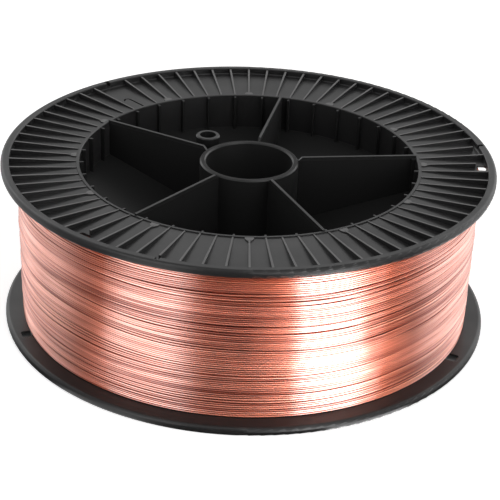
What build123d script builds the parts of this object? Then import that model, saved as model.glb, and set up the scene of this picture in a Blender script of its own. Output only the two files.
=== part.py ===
from build123d import *
import os
from math import degrees

# A plastic wire spool full of copper-coated welding wire, lying on its lower flange.
# The spool axis is Z, and z = 0 is the level floor under the lower rim.
# Angles turn from +X towards +Y, seen from above. Lengths are in millimetres.

# Overall sizes of the spool
flange_radius = 147.5
spool_width = 103.0

# Wire coil: the space left to the edge of the flange, the depth of its wire and its chamfered edges
flange_margin = 10.8
winding_depth = 32.4
coil_edge_chamfer = 1.5

# Flange: a thick rim, and inside it a pocket between the rim and the barrel
rim_height = 5.2
rim_land = 5.0
rim_outer_round = 1.8
rim_underside_round = 2.4
rim_inner_chamfer = 0.5
pocket_depth_inner = 0.6
pocket_foot_chamfer = 0.6
flange_skin = 1.2

# Barrel, which carries the wire, and the ribs along its inside wall
barrel_wall = 3.0
barrel_recess = 2.6
barrel_edge_chamfer = 0.4
barrel_land = 1.8
barrel_rib_count = 36
barrel_rib_first = 6.0
barrel_rib_reach = 2.5
barrel_rib_thickness = 1.2
barrel_rib_drop = 0.7

# Radial ribs in the pocket of each flange
flange_rib_count = 72
flange_rib_first = 0.9
flange_rib_thickness = 1.1
flange_rib_drop_inner = 2.8
flange_rib_drop_outer = 0.6

# Pads at the inner ends of some ribs: wide beside the barrel, then narrowing into the rib
pad_every = 6
pad_width = 5.0
pad_shoulder = 1.8
pad_length = 5.6
pad_drop = 2.65

# Hub tube with the bore for the feeder's spindle
bore_radius = 26.0
hub_wall = 3.6
hub_recess = 3.2
hub_edge_chamfer = 0.8

# Tube for the driving pin
drive_bore_radius = 5.0
drive_wall = 2.4
drive_place = 44.5
drive_angle = 125.7
drive_edge_chamfer = 0.6

# Dished web between the hub and the barrel, and the spokes on both of its sides
web_height_at_axis = 50.2
web_rise = 0.262
web_thickness = 3.0
spoke_angles = [7.3, 79.0, 150.0, 232.4, 294.6]
spoke_thickness = 1.6
spoke_recess = 1.8
spoke_end_slope_length = 3.0
spoke_end_slope_drop = 3.0

# Two slots beside the rim for the outer end of the wire, each running in from the rim
first_slot_angle = 0.8
first_slot_length = 5.9
first_slot_width = 6.9
second_slot_angle = 230.2
second_slot_length = 7.2
second_slot_width = 7.6
slot_corner = 1.5
slot_rib_gap = 0.6

# Hooked slit beside the barrel for the wire's first end
start_slit_angle = 131.2
start_slit_gap = 1.6
start_slit_length = 13.9
start_slit_hook = 2.0
start_slit_width = 1.2

# Notches in the rim's inner edge, and the gap between each and the rib behind it
notch_angles = [10.8, 131.1, 251.2]
notch_length = 3.0
notch_width = 2.5
notch_depth = 2.5
notch_rib_gap = 3.4

# The lower flange is the upper one turned over about a level line at this angle
turn_over_angle = 101.6

# How far joined forms run into each other, and how closely an edge is matched when found
sink = 0.5
match = 0.01

# Sizes that follow from the ones above
coil_radius = flange_radius - flange_margin
barrel_radius = coil_radius - winding_depth
barrel_bore = barrel_radius - barrel_wall
barrel_top = spool_width - barrel_recess
pocket_outer = flange_radius - rim_land
pocket_inner = barrel_bore + barrel_land
rim_floor = spool_width - rim_height
pocket_floor_outer = rim_floor + flange_skin
pocket_floor_inner = barrel_top - pocket_depth_inner
hub_radius = bore_radius + hub_wall
hub_top = spool_width - hub_recess
drive_radius = drive_bore_radius + drive_wall
spoke_top = spool_width - spoke_recess
wire_slots = [
    (first_slot_angle, first_slot_length, first_slot_width),
    (second_slot_angle, second_slot_length, second_slot_width),
]


def section(points):
    return make_face(Polyline(*[(r, 0, z) for r, z in points], close=True))


def turned(points):
    return revolve(section(points), Axis.Z)


def circles_at(solid, radius, height):
    found = []
    for edge in solid.edges().filter_by(GeomType.CIRCLE):
        if abs(edge.radius - radius) < match and abs(edge.center().Z - height) < match:
            found.append(edge)
    return found


def turned_to(solid, angle):
    return Rot(0, 0, angle) * solid


def other_side(solid):
    # The same form on the lower flange: turned over about a level line through the middle
    level = Pos(0, 0, spool_width / 2)
    about = Rot(0, 0, turn_over_angle) * Rot(180, 0, 0) * Rot(0, 0, -turn_over_angle)
    return level * about * Pos(0, 0, -spool_width / 2) * solid


def plate(points, thickness, angle):
    # An upright plate of even thickness, with its outline in radius and height
    return turned_to(extrude(section(points), thickness / 2, dir=(0, 1, 0), both=True), angle)


def wedge(points, thickness, place, angle):
    # An upright rib between two radial planes, as thick as stated at the radius given as its place
    spread = degrees(thickness / place)
    return turned_to(revolve(section(points), Axis.Z, spread), angle - spread / 2)


def angle_between(first, second):
    return abs((first - second + 180) % 360 - 180)


def pocket_floor(radius):
    share = (radius - pocket_inner) / (pocket_outer - pocket_inner)
    return pocket_floor_inner + share * (pocket_floor_outer - pocket_floor_inner)


def web_top(radius):
    return web_height_at_axis + web_rise * radius + web_thickness / 2


def web_bottom(radius):
    return web_top(radius) - web_thickness


# Barrel and both flanges as one turned form
def make_shell():
    half = [
        (barrel_bore, barrel_top),
        (pocket_inner, barrel_top),
        (pocket_inner, pocket_floor_inner),
        (pocket_outer, pocket_floor_outer),
        (pocket_outer, spool_width),
        (flange_radius, spool_width),
        (flange_radius, rim_floor),
        (barrel_radius, rim_floor),
    ]
    lower = [(r, spool_width - z) for r, z in reversed(half)]
    shell = turned(half + lower)
    for height in (0, spool_width):
        shell = fillet(circles_at(shell, flange_radius, height), rim_outer_round)
        shell = chamfer(circles_at(shell, pocket_outer, height), rim_inner_chamfer)
    for height in (spool_width - barrel_top, barrel_top):
        shell = chamfer(circles_at(shell, barrel_bore, height), barrel_edge_chamfer)
    for height in (rim_height, rim_floor):
        shell = fillet(circles_at(shell, flange_radius, height), rim_underside_round)
    for height in (spool_width - pocket_floor_outer, pocket_floor_outer):
        shell = chamfer(circles_at(shell, pocket_outer, height), pocket_foot_chamfer)
    return shell


def make_hub():
    hub = turned([
        (bore_radius, spool_width - hub_top),
        (hub_radius, spool_width - hub_top),
        (hub_radius, hub_top),
        (bore_radius, hub_top),
    ])
    for height in (spool_width - hub_top, hub_top):
        hub = chamfer(circles_at(hub, bore_radius, height), hub_edge_chamfer)
        hub = chamfer(circles_at(hub, hub_radius, height), hub_edge_chamfer)
    return hub


def make_drive_tube():
    tube = Pos(0, 0, spool_width / 2) * Cylinder(drive_radius, hub_top - hub_recess)
    for height in (hub_recess, hub_top):
        tube = chamfer(circles_at(tube, drive_radius, height), drive_edge_chamfer)
    return turned_to(Pos(drive_place, 0, 0) * tube, drive_angle)


def make_web():
    inner = hub_radius - sink
    outer = barrel_bore + sink
    return turned([
        (inner, web_bottom(inner)),
        (outer, web_bottom(outer)),
        (outer, web_top(outer)),
        (inner, web_top(inner)),
    ])


def make_spoke(angle):
    inner = hub_radius - sink
    outer = barrel_bore + sink
    slope_end = inner + spoke_end_slope_length
    low = spool_width - spoke_top
    outline = [
        (inner, low + spoke_end_slope_drop),
        (slope_end, low),
        (outer, low),
        (outer, spoke_top),
        (slope_end, spoke_top),
        (inner, spoke_top - spoke_end_slope_drop),
    ]
    return plate(outline, spoke_thickness, angle)


def make_barrel_rib(angle):
    inner = barrel_bore - barrel_rib_reach
    outer = barrel_bore + sink
    top = barrel_top - barrel_rib_drop
    low = spool_width - top
    outline = [(inner, low), (outer, low), (outer, top), (inner, top)]
    return wedge(outline, barrel_rib_thickness, barrel_bore, angle)


def flange_rib_end(angle):
    # Most ribs run into the rim. One behind a slot or a notch stops short of it.
    reach = degrees(flange_rib_thickness / pocket_outer)
    for slot_angle, slot_length, slot_width in wire_slots:
        if angle_between(angle, slot_angle) < degrees(slot_width / 2 / pocket_outer) + reach:
            return pocket_outer - slot_length - slot_rib_gap
    for notch_angle in notch_angles:
        if angle_between(angle, notch_angle) < degrees(notch_width / 2 / pocket_outer) + reach:
            return pocket_outer - notch_rib_gap
    return pocket_outer + sink


def make_flange_rib(angle):
    inner = pocket_inner - sink
    outer = flange_rib_end(angle)
    rise = (flange_rib_drop_inner - flange_rib_drop_outer) / (pocket_outer - pocket_inner)
    top_inner = spool_width - flange_rib_drop_inner
    outline = [
        (inner, pocket_floor(inner) - sink),
        (outer, pocket_floor(outer) - sink),
        (outer, top_inner + rise * (outer - pocket_inner)),
        (inner, top_inner),
    ]
    return wedge(outline, flange_rib_thickness, (pocket_inner + pocket_outer) / 2, angle)


def make_pad(angle):
    inner = pocket_inner - sink
    base = pocket_floor(pocket_inner + pad_length) - sink
    outline = make_face(Polyline(
        (inner, -pad_width / 2),
        (pocket_inner + pad_shoulder, -pad_width / 2),
        (pocket_inner + pad_length, -flange_rib_thickness / 2),
        (pocket_inner + pad_length, flange_rib_thickness / 2),
        (pocket_inner + pad_shoulder, pad_width / 2),
        (inner, pad_width / 2),
        close=True,
    ))
    return turned_to(Pos(0, 0, base) * extrude(outline, spool_width - pad_drop - base), angle)


def upper_flange_additions():
    added = []
    for step in range(flange_rib_count):
        angle = flange_rib_first + step * 360 / flange_rib_count
        if angle_between(angle, start_slit_angle) < 180 / flange_rib_count:
            continue
        added.append(make_flange_rib(angle))
        if step % pad_every == 0:
            added.append(make_pad(angle))
    return added


def make_wire_slot(angle, length, width):
    slot = Box(length, width, 4 * rim_height)
    slot = fillet(slot.edges().filter_by(Axis.Z), slot_corner)
    return turned_to(Pos(pocket_outer - length / 2, 0, rim_floor) * slot, angle)


def make_start_slit():
    start = pocket_inner + start_slit_gap
    end = start + start_slit_length
    leg = Line((start, 0), (end, 0))
    hook = JernArc((end, 0), (1, 0), start_slit_hook, 180)
    slit = extrude(trace(leg + hook, start_slit_width), 4 * rim_height)
    return turned_to(Pos(0, 0, rim_floor - 2 * rim_height) * slit, start_slit_angle)


def make_notch(angle):
    length = notch_length + sink
    notch = Box(length, notch_width, 2 * notch_depth)
    return turned_to(Pos(pocket_outer - sink + length / 2, 0, spool_width) * notch, angle)


def upper_flange_cuts():
    cuts = [make_wire_slot(*slot) for slot in wire_slots]
    cuts.append(make_start_slit())
    cuts += [make_notch(angle) for angle in notch_angles]
    return cuts


def make_spool():
    body = make_shell()
    parts = [make_hub(), make_drive_tube(), make_web()]
    parts += [make_spoke(angle) for angle in spoke_angles]
    for step in range(barrel_rib_count):
        parts.append(make_barrel_rib(barrel_rib_first + step * 360 / barrel_rib_count))
    additions = upper_flange_additions()
    parts += additions
    parts += [other_side(form) for form in additions]
    body = body.fuse(*parts)
    bore = Pos(0, 0, spool_width / 2) * Cylinder(bore_radius, 2 * spool_width)
    drive_bore = Pos(0, 0, spool_width / 2) * Cylinder(drive_bore_radius, 2 * spool_width)
    drive_bore = turned_to(Pos(drive_place, 0, 0) * drive_bore, drive_angle)
    cuts = upper_flange_cuts()
    cuts += [other_side(form) for form in cuts]
    return body.cut(bore, drive_bore, *cuts)


# Coil of wire: one turned ring, seated on the barrel and between the flanges
def make_coil():
    coil = turned([
        (barrel_radius, rim_height),
        (coil_radius, rim_height),
        (coil_radius, rim_floor),
        (barrel_radius, rim_floor),
    ])
    for height in (rim_height, rim_floor):
        coil = chamfer(circles_at(coil, coil_radius, height), coil_edge_chamfer)
    return coil


os.makedirs("parts", exist_ok=True)
export_step(make_spool(), "parts/spool.step")
export_step(make_coil(), "parts/wire_coil.step")
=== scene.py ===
import bpy
import random
from math import ceil, cos, floor, pi, radians, sin, tan
from mathutils import Matrix, Vector


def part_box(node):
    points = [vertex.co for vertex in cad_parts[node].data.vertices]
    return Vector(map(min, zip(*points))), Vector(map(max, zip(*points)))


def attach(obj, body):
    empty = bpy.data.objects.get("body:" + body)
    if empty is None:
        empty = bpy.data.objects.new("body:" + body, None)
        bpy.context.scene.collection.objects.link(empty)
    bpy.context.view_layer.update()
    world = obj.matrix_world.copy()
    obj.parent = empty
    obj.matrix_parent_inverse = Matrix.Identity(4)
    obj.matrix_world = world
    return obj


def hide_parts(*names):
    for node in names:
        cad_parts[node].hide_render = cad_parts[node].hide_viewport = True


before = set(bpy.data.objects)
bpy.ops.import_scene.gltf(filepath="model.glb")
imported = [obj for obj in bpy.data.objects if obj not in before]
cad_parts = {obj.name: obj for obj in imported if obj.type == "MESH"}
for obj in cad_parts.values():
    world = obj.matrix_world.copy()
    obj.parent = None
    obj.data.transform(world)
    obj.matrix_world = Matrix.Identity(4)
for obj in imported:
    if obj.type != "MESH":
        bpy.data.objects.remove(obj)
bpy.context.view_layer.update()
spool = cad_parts["spool"]
coilLow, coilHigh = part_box("wire_coil")
print("stage: frame loaded")

mm = 0.001
fullTurn = 2 * pi


def deselectAll():
    if bpy.context.object and bpy.context.object.mode != "OBJECT":
        bpy.ops.object.mode_set(mode="OBJECT")
    bpy.ops.object.select_all(action="DESELECT")


def makeActive(piece):
    deselectAll()
    piece.select_set(True)
    bpy.context.view_layer.objects.active = piece


def addNode(tree, kind, **inputs):
    # a node of that kind, with the sockets named in inputs set or linked
    node = tree.nodes.new(kind)
    for name, value in inputs.items():
        socket = node.inputs[int(name[1:])] if name[0] == "i" and name[1:].isdigit() else node.inputs[name]
        if isinstance(value, bpy.types.NodeSocket):
            tree.links.new(value, socket)
        else:
            socket.default_value = value
    return node


def doMath(tree, operation, first, second=0.0):
    node = addNode(tree, "ShaderNodeMath", i0=first, i1=second)
    node.operation = operation
    return node.outputs[0]


def remap(tree, value, low, high, newLow, newHigh):
    node = addNode(tree, "ShaderNodeMapRange", i0=value, i1=low, i2=high, i3=newLow, i4=newHigh)
    return node.outputs[0]


def mixColour(tree, share, first, second):
    node = tree.nodes.new("ShaderNodeMix")
    node.data_type = "RGBA"
    for socket, value in ((node.inputs[0], share), (node.inputs[6], first), (node.inputs[7], second)):
        if isinstance(value, bpy.types.NodeSocket):
            tree.links.new(value, socket)
        else:
            socket.default_value = value
    return node.outputs[2]


def newMaterial(name):
    material = bpy.data.materials.new(name)
    material.use_nodes = True
    tree = material.node_tree
    return material, tree, tree.nodes["Principled BSDF"]


# camera at the photograph's viewing angle, from a fit to the outlines of the flanges
cameraValues = {
    "place": (0.0, -922.02 * mm, 515.63 * mm),
    "yaw": 0.0027,
    "pitch": 0.4769,
    "roll": 0.0363,
    "focalShare": 3.3723,  # focal length over the width of the frame
    "sensor": 36.0,
}


def makeCamera(values):
    data = bpy.data.cameras.new("viewCamera")
    camera = bpy.data.objects.new("viewCamera", data)
    bpy.context.scene.collection.objects.link(camera)
    data.sensor_width = values["sensor"]
    data.lens = values["focalShare"] * values["sensor"]
    yaw, pitch, roll = values["yaw"], values["pitch"], values["roll"]
    ahead = Vector((sin(yaw) * cos(pitch), cos(yaw) * cos(pitch), -sin(pitch)))
    right = ahead.cross(Vector((0, 0, 1))).normalized()
    up = right.cross(ahead)
    tiltedRight = right * cos(roll) + up * sin(roll)
    tiltedUp = up * cos(roll) - right * sin(roll)
    turn = Matrix((tiltedRight, tiltedUp, -ahead)).transposed().to_4x4()
    camera.matrix_world = Matrix.Translation(values["place"]) @ turn
    bpy.context.scene.camera = camera


makeCamera(cameraValues)
print("stage: camera placed")


grainValues = {
    "grainDetail": 3.0,
    "patchDetail": 4.0,
    "patchRange": (0.3, 0.7),  # the part of the patches' noise that is spread from low to high
}


# shared effect: fine moulded grain, as a height and as a mask of duller patches
def makeGrainGroup(values):
    group = bpy.data.node_groups.new("mouldedGrain", "ShaderNodeTree")
    group.interface.new_socket("Grain Scale", in_out="INPUT", socket_type="NodeSocketFloat")
    group.interface.new_socket("Patch Scale", in_out="INPUT", socket_type="NodeSocketFloat")
    group.interface.new_socket("Height", in_out="OUTPUT", socket_type="NodeSocketFloat")
    group.interface.new_socket("Patches", in_out="OUTPUT", socket_type="NodeSocketFloat")
    given = group.nodes.new("NodeGroupInput")
    put = group.nodes.new("NodeGroupOutput")
    place = group.nodes.new("ShaderNodeTexCoord").outputs["Object"]
    grain = addNode(group, "ShaderNodeTexNoise", Vector=place, Scale=given.outputs["Grain Scale"],
                    Detail=values["grainDetail"])
    patches = addNode(group, "ShaderNodeTexNoise", Vector=place, Scale=given.outputs["Patch Scale"],
                      Detail=values["patchDetail"])
    group.links.new(grain.outputs[0], put.inputs["Height"])
    group.links.new(patches.outputs[0], put.inputs["Patches"])
    return group


grainGroup = makeGrainGroup(grainValues)

plasticValues = {
    "dark": (0.011, 0.011, 0.0115, 1),
    "light": (0.017, 0.0165, 0.0165, 1),
    # the colour of the painted highlight on the tops of the upper flange's ribs
    "edge": (0.095, 0.093, 0.093, 1),
    # one even dark grey for the inside of the barrel, painted shade
    "inside": (0.0115, 0.0115, 0.0115, 1),
    "insideRadius": 101.0 * mm,
    "insideTop": 98.9 * mm,  # the walls inside the barrel are dull up to here
    "hubRing": (26.9 * mm, 28.7 * mm),  # the dull part of the hub's top, between its two edges
    "rough": 0.5,
    "specular": 0.1,
    "glossLow": 0.28,
    "glossHigh": 0.42,
    "glossRough": 0.28,
    "grainScale": 2600.0,
    "patchScale": 34.0,
    "grainDepth": 0.02 * mm,
    "bumpStrength": 0.5,
    "ribTopInner": 100.2 * mm,
    "ribTopOuter": 102.4 * mm,
    "ribInner": 103.1 * mm,
    "ribOuter": 142.5 * mm,
    "ribTopReach": 0.05 * mm,  # how far below the line of the ribs' tops a face still counts as one
    "ribEndInner": 0.3 * mm,  # what is left out at each end of a rib
    "ribEndOuter": 0.2 * mm,
}


def makePlastic(values):
    material, tree, shader = newMaterial("blackMouldedPlastic")
    grain = addNode(tree, "ShaderNodeGroup")
    grain.node_tree = grainGroup
    grain.inputs["Grain Scale"].default_value = values["grainScale"]
    grain.inputs["Patch Scale"].default_value = values["patchScale"]
    colour = mixColour(tree, grain.outputs["Patches"], values["dark"], values["light"])
    place = tree.nodes.new("ShaderNodeTexCoord").outputs["Object"]
    parts = addNode(tree, "ShaderNodeSeparateXYZ", Vector=place)
    flat = addNode(tree, "ShaderNodeCombineXYZ", X=parts.outputs["X"], Y=parts.outputs["Y"])
    length = addNode(tree, "ShaderNodeVectorMath", Vector=flat.outputs[0])
    length.operation = "LENGTH"
    radius = length.outputs["Value"]
    # the tops of the upper flange's ribs are painted lighter, a painted highlight
    ribLine = remap(tree, radius, values["ribInner"], values["ribOuter"],
                    values["ribTopInner"], values["ribTopOuter"])
    lowest = doMath(tree, "SUBTRACT", ribLine, values["ribTopReach"])
    nearTop = doMath(tree, "GREATER_THAN", parts.outputs["Z"], lowest)
    pastInner = doMath(tree, "GREATER_THAN", radius, values["ribInner"] + values["ribEndInner"])
    beforeOuter = doMath(tree, "LESS_THAN", radius, values["ribOuter"] - values["ribEndOuter"])
    alongRib = doMath(tree, "MULTIPLY", pastInner, beforeOuter)
    edge = doMath(tree, "MULTIPLY", nearTop, alongRib)
    colour = mixColour(tree, edge, colour, values["edge"])
    # inside the barrel the colour is one even dark grey, painted shade
    within = doMath(tree, "LESS_THAN", radius, values["insideRadius"])
    colour = mixColour(tree, within, colour, values["inside"])
    tree.links.new(colour, shader.inputs["Base Color"])
    # the outer faces are glossy, and the walls inside the barrel and the top of the hub are dull
    gloss = remap(tree, grain.outputs["Patches"], *grainValues["patchRange"],
                  values["glossLow"], values["glossHigh"])
    belowTop = doMath(tree, "LESS_THAN", parts.outputs["Z"], values["insideTop"])
    lowDown = doMath(tree, "MULTIPLY", within, belowTop)
    onHub = doMath(tree, "MULTIPLY", doMath(tree, "GREATER_THAN", radius, values["hubRing"][0]),
                   doMath(tree, "LESS_THAN", radius, values["hubRing"][1]))
    dull = doMath(tree, "MAXIMUM", lowDown, onHub)
    gloss = doMath(tree, "MULTIPLY", gloss, doMath(tree, "SUBTRACT", 1.0, dull))
    tree.links.new(gloss, shader.inputs["Coat Weight"])
    shader.inputs["Coat Roughness"].default_value = values["glossRough"]
    shader.inputs["Roughness"].default_value = values["rough"]
    shader.inputs["Specular IOR Level"].default_value = values["specular"]
    bump = addNode(tree, "ShaderNodeBump", Height=grain.outputs["Height"], Distance=values["grainDepth"],
                   Strength=values["bumpStrength"])
    tree.links.new(bump.outputs[0], shader.inputs["Normal"])
    tree.links.new(bump.outputs[0], shader.inputs["Coat Normal"])
    return material


plastic = makePlastic(plasticValues)
for number in range(len(spool.material_slots)):
    spool.material_slots[number].material = plastic
print("stage: plastic ready")


# the wound wire: an outer layer whose turns wander, a tight layer under it, and the body of the coil
wireValues = {
    "diameter": 1.2 * mm,
    "radius": coilHigh.x,  # of the coil, outside
    "bore": 104.3 * mm,
    "nest": 0.93,  # one layer lies lower by this share of the wire
    "outerTurns": 69,
    "underTurns": 74,
    "steps": 144,  # points in each turn
    "bodySteps": 120,
    "sectionSides": 2,
    "seed": 11,
    "gapEvents": 150,
    "gapLength": (0.03, 0.22),  # in turns
    "gapDepth": (0.3, 1.0),
    "leastGap": 0.03,
    "proudEvents": 90,
    "proudLength": (0.04, 0.3),
    "proudHeight": (0.1 * mm, 0.45 * mm),
    # lighter and darker stretches of the outer wire: painted highlight and painted shade
    "shadingEvents": 420,
    "shadingLength": (0.02, 0.16),
    "shadingMiddle": 0.5,
    "shadingSize": (0.3, 0.6),
    # the wire under the outer layer, seen only in the gaps, is painted dark: painted shade
    "underPaintedShade": 0.1,
    "lean": 1.6 * mm,  # the coil is a little wider at its top
    "startAngle": 92.0,
    "endClearance": 0.05 * mm,
    # across one turn on the coil's ends: place and depth, as shares of the turn
    "endProfile": ((0.0, 0.5), (0.2, 0.12), (0.5, 0.0), (0.8, 0.12)),
    "smoothAngle": 50.0,
    "mergeReach": 0.001 * mm,
}


def eventLine(rng, turns, steps, events, lengths, sizes):
    # smooth bumps strewn along the wire, one value for each of its points
    count = turns * steps
    line = [0.0] * count
    for _ in range(events):
        middle = rng.uniform(0, count)
        reach = rng.uniform(*lengths) * steps
        size = rng.uniform(*sizes)
        for index in range(ceil(middle - reach), floor(middle + reach) + 1):
            share = 0.5 + 0.5 * cos(pi * (index - middle) / reach)
            line[index % count] = max(line[index % count], size * share)
    return line


def windLayer(name, turns, centreRadius, values, hand, wander):
    rng = random.Random(values["seed"] + turns)
    steps = values["steps"]
    diameter = values["diameter"]
    low = coilLow.z + values["endClearance"] + diameter / 2
    high = coilHigh.z - values["endClearance"] - diameter / 2
    count = turns * steps
    if wander:
        gaps = eventLine(rng, turns, steps, values["gapEvents"], values["gapLength"], values["gapDepth"])
        gaps = [gap + values["leastGap"] for gap in gaps]
        proud = eventLine(rng, turns, steps, values["proudEvents"], values["proudLength"],
                          values["proudHeight"])
    else:
        gaps = [1.0] * count
        proud = [0.0] * count
    slack = high - low - (turns - 1) * diameter
    totals = [sum(gaps[step::steps]) for step in range(steps)]
    heights = []
    for index in range(count):
        if index < steps:
            heights.append(low)
        else:
            step = index % steps
            share = gaps[index] / max(totals[step] - gaps[step], 1e-9)
            heights.append(heights[index - steps] + diameter + slack * share)
    deselectAll()
    data = bpy.data.curves.new(name, "CURVE")
    data.dimensions = "3D"
    spline = data.splines.new("POLY")
    spline.points.add(count - 1)
    for index in range(count):
        angle = radians(values["startAngle"]) + hand * fullTurn * index / steps
        rise = (heights[index] - low) / (high - low)
        radius = centreRadius + values["lean"] * rise + proud[index]
        spline.points[index].co = (radius * cos(angle), radius * sin(angle), heights[index], 1)
    data.bevel_depth = diameter / 2
    data.bevel_resolution = values["sectionSides"]
    data.use_fill_caps = True
    piece = bpy.data.objects.new(name, data)
    bpy.context.scene.collection.objects.link(piece)
    makeActive(piece)
    bpy.ops.object.convert(target="MESH")
    bpy.ops.object.shade_smooth()
    piece = bpy.context.object
    addPaintedShading(piece, rng, turns, values, wander)
    return piece


def addPaintedShading(piece, rng, turns, values, outside):
    # each stretch of the outer wire is painted lighter or darker than the next, painted highlight and painted
    # shade, and the wire below it is painted dark, painted shade
    steps = values["steps"]
    total = len(piece.data.vertices)
    sides = total // (turns * steps)
    line = [values["underPaintedShade"]] * (turns * steps)
    if outside:
        light, dark = [
            eventLine(rng, turns, steps, values["shadingEvents"], values["shadingLength"], values["shadingSize"])
            for _ in range(2)
        ]
        line = [values["shadingMiddle"] + more - less for more, less in zip(light, dark)]
    paintedShading = piece.data.attributes.new("paintedTurnShading", "FLOAT", "POINT")
    paintedShading.data.foreach_set("value", [line[min(number // sides, len(line) - 1)] for number in range(total)])


def makeCoilBody(values, outside):
    # the coil inside its two outer layers, turned from a profile whose ends show each layer's turns
    deselectAll()
    low, high = coilLow.z + values["endClearance"], coilHigh.z - values["endClearance"]
    layers = round((outside - values["bore"]) / (values["nest"] * values["diameter"]))
    width = (outside - values["bore"]) / layers
    waves = []
    for layer in range(layers):
        for share, depth in values["endProfile"]:
            waves.append((values["bore"] + (layer + share) * width, depth * width))
    waves.append((outside, values["endProfile"][0][1] * width))
    outline = [(radius, 0, low + depth) for radius, depth in waves]
    outline += [(radius, 0, high - depth) for radius, depth in reversed(waves)]
    edges = [(number, (number + 1) % len(outline)) for number in range(len(outline))]
    data = bpy.data.meshes.new("wire_coil_body")
    data.from_pydata(outline, edges, [])
    body = bpy.data.objects.new("wire_coil_body", data)
    bpy.context.scene.collection.objects.link(body)
    makeActive(body)
    screw = body.modifiers.new("turn", "SCREW")
    screw.angle = fullTurn
    screw.steps = values["bodySteps"]
    screw.render_steps = values["bodySteps"]
    screw.use_merge_vertices = True
    screw.merge_threshold = values["mergeReach"]
    screw.use_normal_calculate = True
    bpy.ops.object.modifier_apply(modifier="turn")
    bpy.ops.object.shade_smooth_by_angle(angle=radians(values["smoothAngle"]))
    return body


outerRadius = wireValues["radius"] - wireValues["diameter"] / 2
underRadius = outerRadius - wireValues["nest"] * wireValues["diameter"]
outerLayer = windLayer("wire_outer_layer", wireValues["outerTurns"], outerRadius, wireValues, 1, True)
underLayer = windLayer("wire_under_layer", wireValues["underTurns"], underRadius, wireValues, -1, False)
coilBody = makeCoilBody(wireValues, underRadius)
faceCounts = [len(piece.data.polygons) for piece in (outerLayer, underLayer, coilBody)]
print("stage: wire wound", *faceCounts)

copperValues = {
    # the wire's lighter colour, and the darker colour that is painted shade
    "light": (1.0, 0.28, 0.14, 1),
    "paintedShadeCopper": (0.34, 0.06, 0.025, 1),
    "roughLow": 0.36,
    "roughHigh": 0.44,
    "patchScale": 25.0,
    "patchDetail": 3.0,
    "patchRange": (0.3, 0.7),
    "patchLift": 0.5,
    # the coat, which shines through more where the wire is painted lighter
    "shineRough": 0.10,
    "shineIor": 3.6,
    "shineLow": 0.4,
    "shineHigh": 1.1,
}


def makeCopper(values):
    material, tree, shader = newMaterial("copperCoating")
    # the painted lighter and darker stretches along the wire, painted highlight and shade, pick between the
    # two colours
    paintedShading = tree.nodes.new("ShaderNodeAttribute")
    paintedShading.attribute_name = "paintedTurnShading"
    place = tree.nodes.new("ShaderNodeTexCoord").outputs["Object"]
    patches = addNode(tree, "ShaderNodeTexNoise", Vector=place, Scale=values["patchScale"],
                      Detail=values["patchDetail"])
    lifted = doMath(tree, "ADD", patches.outputs[0], values["patchLift"])
    share = doMath(tree, "MULTIPLY", paintedShading.outputs["Fac"], lifted)
    tree.links.new(mixColour(tree, share, values["paintedShadeCopper"], values["light"]), shader.inputs["Base Color"])
    rough = remap(tree, patches.outputs[0], *values["patchRange"], values["roughLow"], values["roughHigh"])
    tree.links.new(rough, shader.inputs["Roughness"])
    shader.inputs["Metallic"].default_value = 1.0
    shine = remap(tree, share, 0.0, 1.0, values["shineLow"], values["shineHigh"])
    tree.links.new(shine, shader.inputs["Coat Weight"])
    shader.inputs["Coat Roughness"].default_value = values["shineRough"]
    shader.inputs["Coat IOR"].default_value = values["shineIor"]
    return material


copper = makeCopper(copperValues)
# the coil's body has no shading attribute, so it is all in the darker colour, painted shade
for piece in (outerLayer, underLayer, coilBody):
    piece.data.materials.clear()
    piece.data.materials.append(copper)
    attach(piece, "root")
    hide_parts("wire_coil")
print("stage: copper ready")


# floor, world and lamps. The azimuth of a light is seen from above, from the camera's side towards its right.
stageValues = {
    "floorSize": 30.0,
    "floorDrop": 0.05 * mm,  # the floor lies this much lower than the rim that stands on it
    "floorColour": (0.9, 0.9, 0.9, 1),
    "floorRough": 0.9,
    "floorGlow": 0.6,
    "shadeRadius": 146.0 * mm,  # under the spool the floor has no glow of its own
    "skyStrength": 0.45,
    # azimuth, and how light the floor and the sky look from there in a reflection
    "floorLevels": [
        (-180, 0.5), (-125, 1.0), (-85, 0.8), (-66, 0.3), (-58, 0.1), (-51, 0.08), (-47, 0.4), (-43, 1.8),
        (-24, 1.8), (-19, 0.6), (-15, 0.15), (-11, 0.08), (7, 0.08), (12, 0.1), (18, 0.3), (22, 7.0),
        (38, 7.0), (42, 0.4), (50, 0.1), (60, 0.12), (68, 0.4), (80, 1.3), (110, 1.3), (180, 0.5),
    ],
    "skyLevels": [
        (-180, 0.6), (-165, 0.8), (-150, 2.0), (-120, 1.7), (-100, 1.2), (-92, 0.5), (-84, 0.12),
        (-70, 0.1), (-65, 0.7), (-59, 2.0), (-31, 2.6), (-26, 1.3), (-21, 0.15), (-16, 0.06), (11, 0.06),
        (17, 0.1), (24, 0.4), (28, 9.0), (55, 9.0), (60, 0.4), (67, 0.12), (90, 0.25), (98, 1.3),
        (106, 2.0), (120, 2.2), (145, 2.2), (165, 0.8), (180, 0.6),
    ],
    "ringTop": 0.6,  # sine of the elevation up to which the ring round the spool reaches
    "ringBlend": 0.1,
    "topLevel": 0.75,
    "backRise": 1.8,  # the sky behind the spool gets lighter higher up, by up to this share more
    "backRiseRange": (0.40, 0.53),  # sine of the elevation
    "behindRange": (0.5, 0.8),  # how far to the back a direction points
}


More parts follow.
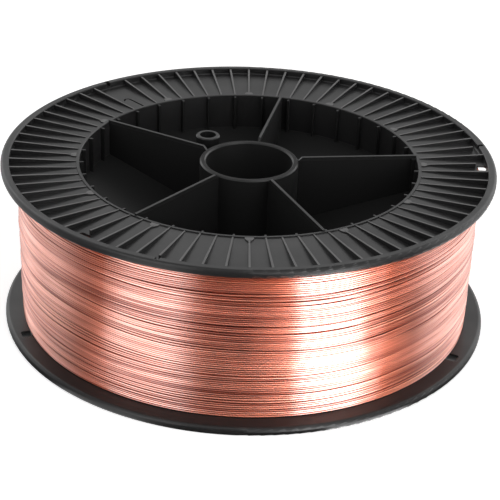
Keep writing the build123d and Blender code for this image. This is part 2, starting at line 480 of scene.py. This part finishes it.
# shared effect: how light the floor and the sky look in a reflection, by azimuth round the spool
def makeRingGroup(floorLevels, skyLevels):
    group = bpy.data.node_groups.new("studioRing", "ShaderNodeTree")
    group.interface.new_socket("Vector", in_out="INPUT", socket_type="NodeSocketVector")
    given = group.nodes.new("NodeGroupInput")
    put = group.nodes.new("NodeGroupOutput")
    parts = addNode(group, "ShaderNodeSeparateXYZ", Vector=given.outputs["Vector"])
    turn = doMath(group, "ARCTAN2", parts.outputs["X"], doMath(group, "MULTIPLY", parts.outputs["Y"], -1.0))
    share = remap(group, turn, -pi, pi, 0.0, 1.0)
    for name, rows in (("Floor", floorLevels), ("Sky", skyLevels)):
        group.interface.new_socket(name, in_out="OUTPUT", socket_type="NodeSocketFloat")
        ramp = addNode(group, "ShaderNodeValToRGB", Fac=share)
        marks = ramp.color_ramp.elements
        for number, (azimuth, level) in enumerate(rows):
            place = (azimuth + 180) / 360
            if number == 0:
                mark = marks[0]
            elif number == len(rows) - 1:
                mark = marks[len(marks) - 1]
            else:
                mark = marks.new(place)
            mark.position = place
            mark.color = (level, level, level, 1)
        group.links.new(ramp.outputs["Color"], put.inputs[name])
    return group


ringGroup = makeRingGroup(stageValues["floorLevels"], stageValues["skyLevels"])


def addRing(tree, vector):
    node = addNode(tree, "ShaderNodeGroup")
    node.node_tree = ringGroup
    tree.links.new(vector, node.inputs["Vector"])
    return node.outputs


def makeFloor(values):
    deselectAll()
    bpy.ops.mesh.primitive_plane_add(size=values["floorSize"], location=(0, 0, -values["floorDrop"]))
    floorPiece = bpy.context.object
    floorPiece.name = "floor"
    material, tree, shader = newMaterial("paleFloor")
    shader.inputs["Roughness"].default_value = values["floorRough"]
    rays = tree.nodes.new("ShaderNodeLightPath")
    glossy = rays.outputs["Is Glossy Ray"]
    tree.links.new(mixColour(tree, glossy, values["floorColour"], (0, 0, 0, 1)), shader.inputs["Base Color"])
    seen = doMath(tree, "MAXIMUM", rays.outputs["Is Camera Ray"], rays.outputs["Is Transmission Ray"])
    place = tree.nodes.new("ShaderNodeTexCoord").outputs["Object"]
    length = addNode(tree, "ShaderNodeVectorMath", Vector=place)
    length.operation = "LENGTH"
    away = doMath(tree, "GREATER_THAN", length.outputs["Value"], values["shadeRadius"])
    glow = doMath(tree, "MULTIPLY", doMath(tree, "MULTIPLY", seen, away), values["floorGlow"])
    ring = addRing(tree, place)["Floor"]
    glow = doMath(tree, "ADD", glow, doMath(tree, "MULTIPLY", glossy, ring))
    shader.inputs["Emission Color"].default_value = (1, 1, 1, 1)
    tree.links.new(glow, shader.inputs["Emission Strength"])
    shader.inputs["Specular IOR Level"].default_value = 0.0
    # from below the floor is clear, so the underside can be seen
    below = tree.nodes.new("ShaderNodeNewGeometry").outputs["Backfacing"]
    clear = tree.nodes.new("ShaderNodeBsdfTransparent").outputs[0]
    both = addNode(tree, "ShaderNodeMixShader", i0=below, i1=shader.outputs[0], i2=clear)
    tree.links.new(both.outputs[0], tree.nodes["Material Output"].inputs["Surface"])
    floorPiece.data.materials.append(material)


def makeWorld(values):
    world = bpy.data.worlds.new("studio")
    bpy.context.scene.world = world
    world.use_nodes = True
    tree = world.node_tree
    background = tree.nodes["Background"]
    rays = tree.nodes.new("ShaderNodeLightPath")
    glossy = rays.outputs["Is Glossy Ray"]
    seen = doMath(tree, "MAXIMUM", rays.outputs["Is Camera Ray"], rays.outputs["Is Transmission Ray"])
    background.inputs["Color"].default_value = (1, 1, 1, 1)
    lift = doMath(tree, "MULTIPLY", seen, 1 - values["skyStrength"])
    strength = doMath(tree, "ADD", values["skyStrength"], lift)
    direction = tree.nodes.new("ShaderNodeTexCoord").outputs["Generated"]
    parts = addNode(tree, "ShaderNodeSeparateXYZ", Vector=direction)
    height = parts.outputs["Z"]
    ringEnd = (values["ringTop"] - values["ringBlend"], values["ringTop"] + values["ringBlend"])
    above = remap(tree, height, *ringEnd, 0.0, 1.0)
    behind = remap(tree, parts.outputs["Y"], *values["behindRange"], 0.0, 1.0)
    higher = remap(tree, height, *values["backRiseRange"], 0.0, values["backRise"])
    rise = doMath(tree, "MULTIPLY", higher, behind)
    ring = doMath(tree, "MULTIPLY", addRing(tree, direction)["Sky"], doMath(tree, "ADD", rise, 1.0))
    above = doMath(tree, "MULTIPLY", above, doMath(tree, "SUBTRACT", 1.0, behind))
    level = mixColour(tree, above, ring, (values["topLevel"],) * 3 + (1,))
    level = mixColour(tree, glossy, strength, level)
    tree.links.new(level, background.inputs["Strength"])


lampTarget = 50 * mm  # the height that the lamps face

# radiance 1 is white, angles are in degrees and the distance is in metres
lampValues = [
    {
        "name": "keyBox",
        "azimuth": 45.0,
        "width": 34.0,
        "low": -1.5,
        "high": 70.0,
        "distance": 1.7,
        "radiance": 1.4,
    },
    {
        "name": "leftBox",
        "azimuth": -47.0,
        "width": 32.0,
        "low": -1.5,
        "high": 60.0,
        "distance": 1.7,
        "radiance": 0.9,
    },
]


def panelFrame(values):
    # middle, size and turn of an upright panel that faces the spool
    low, high = radians(values["low"]), radians(values["high"])
    distance = values["distance"]
    bottom = Vector((distance * cos(low), distance * sin(low)))
    top = Vector((distance * cos(high), distance * sin(high)))
    across = 2 * distance * tan(radians(values["width"] / 2))
    centre = (bottom + top) / 2
    side = radians(values["azimuth"])
    outward = Vector((sin(side), -cos(side), 0))
    place = outward * centre.x + Vector((0, 0, lampTarget + centre.y))
    tall = outward * (top - bottom).x + Vector((0, 0, (top - bottom).y))
    along = Vector((cos(side), sin(side), 0))
    face = along.cross(tall.normalized())
    turn = Matrix((along, tall.normalized(), face)).transposed().to_4x4()
    return place, across, tall.length, turn


def makeLamp(values):
    place, across, tall, turn = panelFrame(values)
    data = bpy.data.lights.new(values["name"], "AREA")
    data.shape = "RECTANGLE"
    data.size = across
    data.size_y = tall
    data.energy = values["radiance"] * pi * across * tall
    lamp = bpy.data.objects.new(values["name"], data)
    bpy.context.scene.collection.objects.link(lamp)
    lamp.matrix_world = Matrix.Translation(place) @ turn
    lamp.visible_camera = False


makeFloor(stageValues)
makeWorld(stageValues)
for values in lampValues:
    makeLamp(values)
bpy.context.scene.view_settings.view_transform = "Standard"
print("stage: studio ready")
